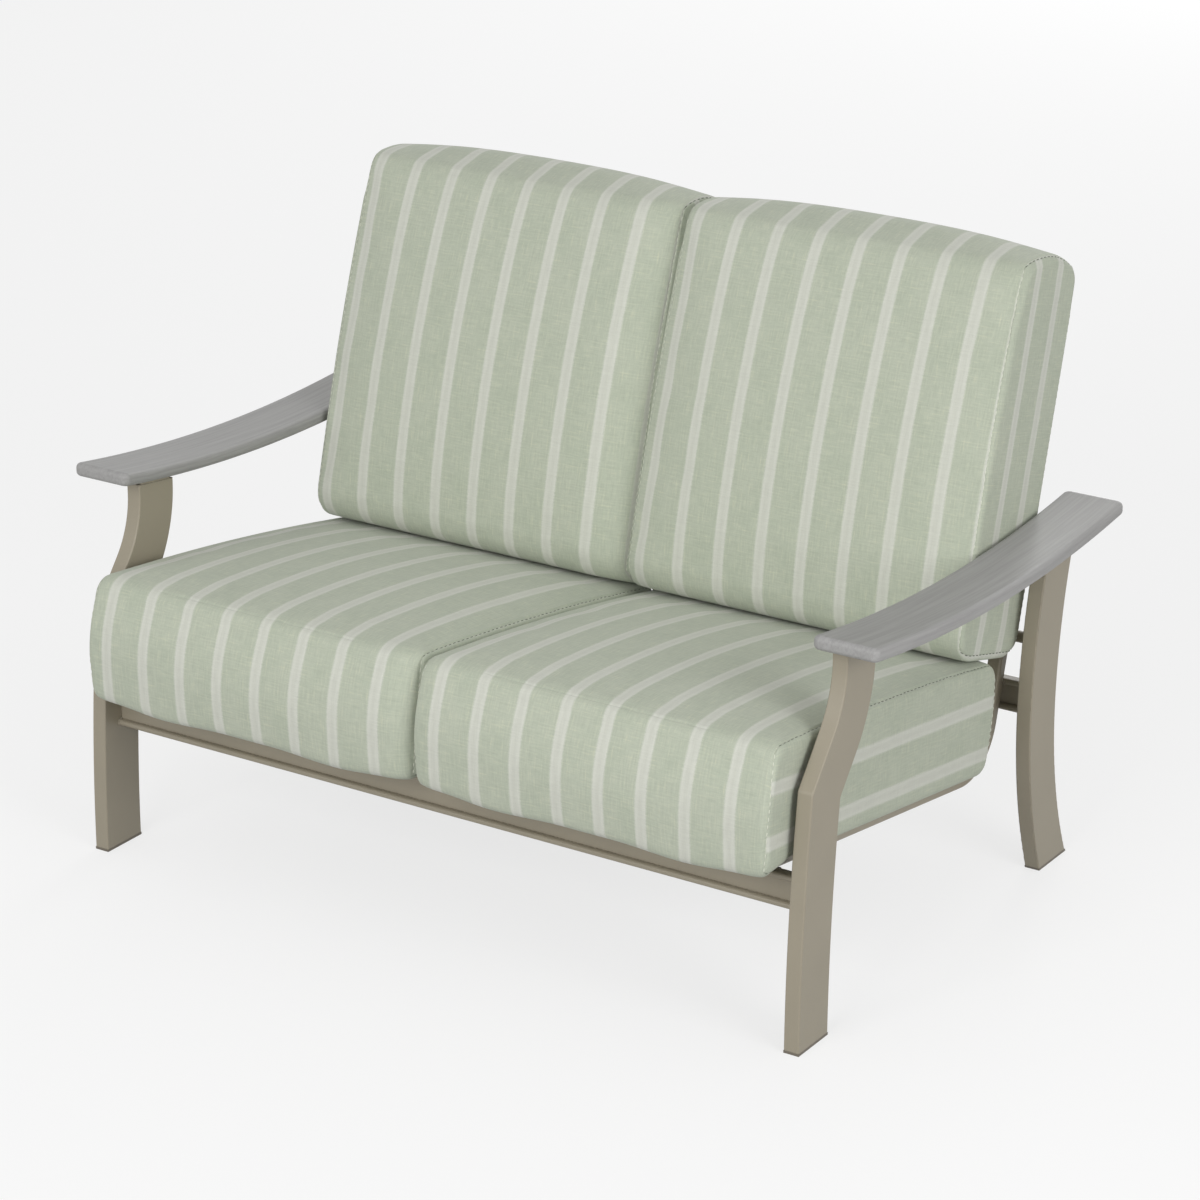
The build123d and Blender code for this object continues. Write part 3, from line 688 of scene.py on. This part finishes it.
def simulate(pieces):
    """All covers filled at once by pressure from inside. Gives each vertex's move."""
    nominal = [[vert.co.copy() for vert in piece.data.vertices] for piece, _ in pieces]
    for piece, cushion in pieces:
        mesh = piece.data
        normals = [vert.normal.copy() for vert in mesh.vertices]
        apart = Vector((0, 0, 5 * len(cushion.body)))
        for vert, normal in zip(mesh.vertices, normals):
            broad, fine = (noise.noise(vert.co * scale + apart) for scale in nudge_scales)
            swing = broad + 0.5 * fine
            vert.co -= normal * (start_inset + nudge * swing)
        group = piece.vertex_groups.new(name="seams")
        group.add(seam_verts(mesh), 1.0, "REPLACE")
        cloth = piece.modifiers.new("fill", "CLOTH")
        cloth.settings.quality = cloth_quality
        cloth.settings.tension_stiffness = cloth_stiffness
        cloth.settings.compression_stiffness = cloth_stiffness
        cloth.settings.bending_stiffness = cloth_bending
        cloth.settings.use_pressure = True
        cloth.settings.uniform_pressure_force = pressure
        cloth.settings.vertex_group_shrink = "seams"
        cloth.settings.shrink_min = 0.0
        cloth.settings.shrink_max = seam_shrink
        cloth.settings.effector_weights.gravity = 0
        cloth.collision_settings.use_collision = False
    for number in range(1, last_frame + 1):
        scene.frame_set(number)
    depsgraph = bpy.context.evaluated_depsgraph_get()
    moves = []
    for (piece, _), places in zip(pieces, nominal):
        filled = piece.evaluated_get(depsgraph).data
        moves.append([vert.co - place for vert, place in zip(filled.vertices, places)])
    for (piece, _), places in zip(pieces, nominal):
        piece.modifiers.clear()
        for vert, place in zip(piece.data.vertices, places):
            vert.co = place
    scene.frame_set(1)
    return moves


def settle(piece, cushion, moves):
    """Move the cover as filling moved it, smoothed, within limits, and clear of its neighbours."""
    mesh = piece.data
    beside = [[] for _ in mesh.vertices]
    for edge in mesh.edges:
        first, second = edge.vertices
        beside[first].append(second)
        beside[second].append(first)
    for _ in range(smoothing_rounds):
        moves = [(move + sum((moves[i] for i in near), Vector()) / len(near)) / 2
                 for move, near in zip(moves, beside)]
    normals = [vert.normal.copy() for vert in mesh.vertices]
    for vert, move, normal in zip(mesh.vertices, moves, normals):
        move = move * swell_share
        move *= most_swell * tanh(move.length / most_swell) / max(move.length, 1e-9)
        proud = move.dot(normal)
        room = allowance(cushion, vert.co, normal)
        vert.co += move + normal * (max(-most_drawn_in, min(room, proud)) - proud)


def sew(piece):
    """Draw the seams in, so that the panels meet in a narrow valley."""
    mesh = piece.data
    normals = [vert.normal.copy() for vert in mesh.vertices]
    for i in seam_verts(mesh):
        mesh.vertices[i].co -= normals[i] * seam_depth
    crease = mesh.attributes.new("crease_edge", "FLOAT", "EDGE")
    for i, flag in enumerate(mesh.attributes["seam_line"].data):
        crease.data[i].value = seam_crease * flag.value


def seam_loops(mesh):
    """Seam vertices in order, one list for each closed seam."""
    links = {}
    flags = mesh.attributes["seam_line"].data
    for edge in mesh.edges:
        if flags[edge.index].value:
            first, second = edge.vertices
            links.setdefault(first, []).append(second)
            links.setdefault(second, []).append(first)
    loops = []
    unused = set(links)
    while unused:
        loop = [min(unused)]
        unused.remove(loop[0])
        ahead = [i for i in links[loop[0]] if i in unused]
        while ahead:
            loop.append(ahead[0])
            unused.remove(ahead[0])
            ahead = [i for i in links[loop[-1]] if i in unused]
        loops.append(loop)
    return loops


def make_stitches(piece, cushion):
    """Thread dashes lying in the seams, pale up the front, and elsewhere painted dark as the shadow
    that lies along the seam.
    """
    mesh = piece.data
    upright = cushion.rise if cushion.kind == "seat" else cushion.run
    places = []
    for loop in seam_loops(mesh):
        points = [mesh.vertices[i].co for i in loop + loop[:1]]
        normals = [mesh.vertices[i].normal for i in loop + loop[:1]]
        walked = 0.0
        due = stitch_pitch / 2
        for i in range(len(points) - 1):
            step = points[i + 1] - points[i]
            while due <= walked + step.length:
                share = (due - walked) / step.length
                normal = normals[i].lerp(normals[i + 1], share).normalized()
                along = step.normalized()
                side = along.cross(normal).normalized()
                centre = points[i].lerp(points[i + 1], share) + normal * stitch_proud
                turn = Matrix((along, side, normal)).transposed().to_4x4()
                size = Matrix.Diagonal((stitch_length / 2, stitch_radius, stitch_radius, 1))
                # Painted shadow on the thread where its seam does not run up the front.
                in_painted_shadow = abs(along.dot(upright)) < upright_share
                places.append((Matrix.Translation(centre) @ turn @ size, in_painted_shadow))
                due += stitch_pitch
            walked += step.length
    made = bpy.data.meshes.new(cushion.node + "_stitches")
    stitches = bmesh.new()
    for first in range(0, len(places), batch):
        few = bmesh.new()
        for place, in_painted_shadow in places[first:first + batch]:
            dash = bmesh.ops.create_uvsphere(
                few, u_segments=7, v_segments=5, radius=1, matrix=place)
            for face in {face for vert in dash["verts"] for face in vert.link_faces}:
                face.material_index = int(in_painted_shadow)
                face.smooth = True
        few.to_mesh(made)
        few.free()
        stitches.from_mesh(made)
    stitches.to_mesh(made)
    stitches.free()
    made.materials.append(pale_thread)
    made.materials.append(thread_painted_shadow)
    threads = new_piece(cushion.node + "_stitches", made)
    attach(threads, cushion.body)


cushions = [Cushion(kind, hand) for kind in ("seat", "back") for hand in ("left", "right")]
covers = [(cushion, start_cover(cushion)) for cushion in cushions]
filled = simulate([(piece, cushion) for cushion, piece in covers])
for (cushion, piece), moves in zip(covers, filled):
    settle(piece, cushion, moves)
for cushion, piece in covers:
    sew(piece)
    make_stitches(piece, cushion)
    smooth = piece.modifiers.new("smooth", "SUBSURF")
    smooth.levels = 1
    smooth.render_levels = 1
    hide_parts(cushion.node, cushion.foam)
    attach(piece, cushion.body)


# Zips of the covers, on the faces that look to the rear

def cast_on_cover(tree, x, z):
    """Place and normal on a cover's rear face."""
    place, normal, _, _ = tree.ray_cast(Vector((x, 1, z)), Vector((0, -1, 0)))
    return place, normal


def add_block(few, size, place, normal, bevel, material_index):
    """Small block with eased edges that lies on the cloth, its width along X."""
    side = Vector((1, 0, 0))
    upward = normal.cross(side).normalized()
    turn = Matrix((side, upward, normal)).transposed().to_4x4()
    made = bmesh.ops.create_cube(
        few, size=1, matrix=Matrix.Translation(place) @ turn @ Matrix.Diagonal((*size, 1)))
    if bevel:
        edges = list({edge for vert in made["verts"] for edge in vert.link_edges})
        eased = bmesh.ops.bevel(
            few, geom=edges, offset=bevel, affect="EDGES", segments=2, profile=0.5, material=-1)
        faces = set(eased["faces"]) | {face for vert in eased["verts"] for face in vert.link_faces}
    else:
        faces = {face for vert in made["verts"] for face in vert.link_faces}
    for face in faces:
        face.material_index = material_index


def make_zip(cover, cushion):
    """Tape, coil teeth, slider and pull."""
    depsgraph = bpy.context.evaluated_depsgraph_get()
    depsgraph.update()
    tree = BVHTree.FromObject(cover, depsgraph)
    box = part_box(cushion.node)
    middle = (box[0].x + box[1].x) / 2
    height = zip_height[cushion.kind]
    zipper = bmesh.new()
    bmesh.ops.create_grid(zipper, x_segments=zip_cuts[0], y_segments=zip_cuts[1], size=1)
    for vert in zipper.verts:
        x, z = middle + vert.co.x * zip_length / 2, height + vert.co.y * zip_tape / 2
        place, normal = cast_on_cover(tree, x, z)
        vert.co = place + normal * (zip_thickness if abs(vert.co.y) < 0.9 else zip_edge)
    for face in zipper.faces:
        face.smooth = True
        if face.normal.y < 0:
            face.normal_flip()
    made = bpy.data.meshes.new(cushion.node + "_zip")
    count = int(zip_length / tooth_pitch) - spare_teeth
    for first in range(0, count, batch):
        few = bmesh.new()
        for number in range(first, min(count, first + batch)):
            x = middle - zip_length / 2 + (number + (spare_teeth + 1) / 2) * tooth_pitch
            place, normal = cast_on_cover(tree, x, height + tooth_aside * (-1) ** number)
            add_block(few, tooth_size, place + normal * zip_thickness, normal, 0, 1)
        few.to_mesh(made)
        few.free()
        zipper.from_mesh(made)
    few = bmesh.new()
    slider_x = middle + zip_length / 2 - slider_inset
    place, normal = cast_on_cover(tree, slider_x, height)
    add_block(few, slider_size, place + normal * slider_lift, normal, slider_bevel, 2)
    place, normal = cast_on_cover(tree, slider_x, height - pull_drop)
    add_block(few, pull_size, place + normal * pull_lift, normal, pull_bevel, 2)
    few.to_mesh(made)
    few.free()
    zipper.from_mesh(made)
    zipper.to_mesh(made)
    zipper.free()
    for material in (tape_material, tooth_material, slot_materials["rivet_metal"]):
        made.materials.append(material)
    piece = new_piece(cushion.node + "_zip", made)
    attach(piece, cushion.body)


for cushion, piece in covers:
    make_zip(piece, cushion)


# Weld beads where the rails and tubes meet

def loop_points(y, z, half_depth, half_height, corner):
    """Rounded rectangle in the YZ plane."""
    points = []
    for quarter in range(4):
        for part in range(4):
            angle = (quarter + part / 3) * pi / 2
            y_side = 1 if quarter in (0, 3) else -1
            z_side = 1 if quarter in (0, 1) else -1
            points.append((y + y_side * (half_depth - corner) + corner * cos(angle),
                           z + z_side * (half_height - corner) + corner * sin(angle)))
    return points


def add_run(curve, points, closed):
    """Stretch of a bead through points."""
    run = curve.splines.new("POLY")
    run.points.add(len(points) - 1)
    for point, place in zip(run.points, points):
        point.co = (*place, 1)
    run.use_cyclic_u = closed


def make_welds():
    """Beads round the ends of the rails and the cross tube, and beside the bent tubes."""
    curve = bpy.data.curves.new("weld_beads", "CURVE")
    curve.dimensions = "3D"
    curve.bevel_depth = weld_radius
    curve.bevel_resolution = 2
    curve.use_fill_caps = True
    for side in (-1, 1):
        for rail in ("front_rail", "rear_rail"):
            low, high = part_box(rail)
            middle_y, half_depth = (low.y + high.y) / 2, (high.y - low.y) / 2
            for z in (low.z + rail_bead / 2, high.z - rail_bead / 2):
                ring = loop_points(middle_y, z, half_depth, rail_bead / 2, rail_bead_radius)
                add_run(curve, [(side * (high.x - weld_inset), *point) for point in ring], True)
        low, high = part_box("back_cross_tube")
        middle, half = (low + high) / 2, (high - low) / 2
        ring = loop_points(middle.y, middle.z, half.y, half.z, half.z)
        add_run(curve, [(side * (high.x - weld_inset), *point) for point in ring], True)
    for tube in ("outer_left", "inner_left", "inner_right", "outer_right"):
        low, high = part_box("seat_back_tube_" + tube)
        front_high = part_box("front_rail")[1]
        rear_low, rear_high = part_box("rear_rail")
        for x in (low.x, high.x):
            add_run(curve, [(x, front_high.y - 2 * rail_bead_radius, front_high.z),
                            (x, front_high.y - rail_bead_radius, front_high.z),
                            (x, front_high.y, front_high.z - rail_bead_radius / 2)], False)
            add_run(curve, [(x, rear_low.y, rear_high.z - 2 * rail_bead_radius),
                            (x, rear_low.y, rear_high.z - rail_bead_radius / 2)], False)
    holder = new_piece("weld_bead_curve", curve)
    depsgraph = bpy.context.evaluated_depsgraph_get()
    mesh = bpy.data.meshes.new_from_object(holder.evaluated_get(depsgraph))
    bpy.data.objects.remove(holder)
    mesh.materials.clear()
    mesh.materials.append(weld_material)
    for face in mesh.polygons:
        face.use_smooth = True
    beads = new_piece("weld_beads", mesh)
    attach(beads, "frame")


make_welds()


# Stage, light and camera

def is_shown(tree):
    """One for rays that come from the camera, straight or by a shiny or clear surface."""
    path = add_node(tree, "ShaderNodeLightPath")
    bounced = maths(
        tree, "MAXIMUM", path.outputs["Is Glossy Ray"], path.outputs["Is Transmission Ray"])
    return maths(tree, "MAXIMUM", path.outputs["Is Camera Ray"], bounced)


def make_stage_material():
    """Pale floor that reads white to the camera and keeps a soft shadow."""
    material = bpy.data.materials.new("pale_floor")
    material.use_nodes = True
    tree = material.node_tree
    tree.nodes.clear()
    seen = is_shown(tree)
    pale = add_node(tree, "ShaderNodeBsdfDiffuse", {"Color": floor_pale}).outputs[0]
    dull = add_node(tree, "ShaderNodeBsdfDiffuse", {"Color": floor_dull}).outputs[0]
    glow = add_node(tree, "ShaderNodeEmission", {"Color": white, "Strength": 1.0}).outputs[0]
    bright = add_node(tree, "ShaderNodeMixShader", {0: floor_glow, 1: pale, 2: glow}).outputs[0]
    shown = add_node(tree, "ShaderNodeMixShader", {0: seen, 1: dull, 2: bright})
    out = add_node(tree, "ShaderNodeOutputMaterial")
    tree.links.new(shown.outputs[0], out.inputs["Surface"])
    return material


def make_floor():
    """Plain floor under the feet."""
    grid = bmesh.new()
    bmesh.ops.create_grid(grid, x_segments=1, y_segments=1, size=floor_half)
    mesh = bpy.data.meshes.new("floor")
    grid.to_mesh(mesh)
    grid.free()
    mesh.materials.append(make_stage_material())
    new_piece("floor", mesh)


def make_world():
    """White to the camera, soft grey light on the object."""
    world = bpy.data.worlds.new("studio")
    scene.world = world
    world.use_nodes = True
    tree = world.node_tree
    tree.nodes.clear()
    seen = is_shown(tree)
    soft = add_node(tree, "ShaderNodeBackground", {"Color": white, "Strength": sky_light})
    plain = add_node(tree, "ShaderNodeBackground", {"Color": white, "Strength": 1.0})
    inputs = {0: seen, 1: soft.outputs[0], 2: plain.outputs[0]}
    shown = add_node(tree, "ShaderNodeMixShader", inputs)
    out = add_node(tree, "ShaderNodeOutputWorld")
    tree.links.new(shown.outputs[0], out.inputs["Surface"])


def add_lamp(name, place, target, size, power):
    """Square lamp that faces a target."""
    lamp = bpy.data.lights.new(name, "AREA")
    lamp.size = size
    lamp.energy = power
    holder = new_piece(name, lamp)
    holder.location = place
    holder.rotation_euler = (Vector(target) - Vector(place)).to_track_quat("-Z", "Y").to_euler()


def make_camera():
    """Camera at the photograph's place, worked out from the furniture's parallel edges."""
    camera = bpy.data.cameras.new("camera")
    camera.sensor_width = 36
    camera.lens = camera_lens
    holder = new_piece("camera", camera)
    holder.location = camera_place
    holder.rotation_euler = (pi / 2 - camera_drop, 0, camera_turn)
    scene.camera = holder


make_floor()
make_world()
add_lamp("key", (0.2, -5.6, 2.7), (0, 0, 0.5), 3.0, 152)
add_lamp("fill", (5.0, -1.6, 2.2), (0, 0, 0.5), 2.5, 100)
add_lamp("rear", (-2.0, 9.0, 3.2), (0, 0, 0.6), 3.0, 200)
make_camera()
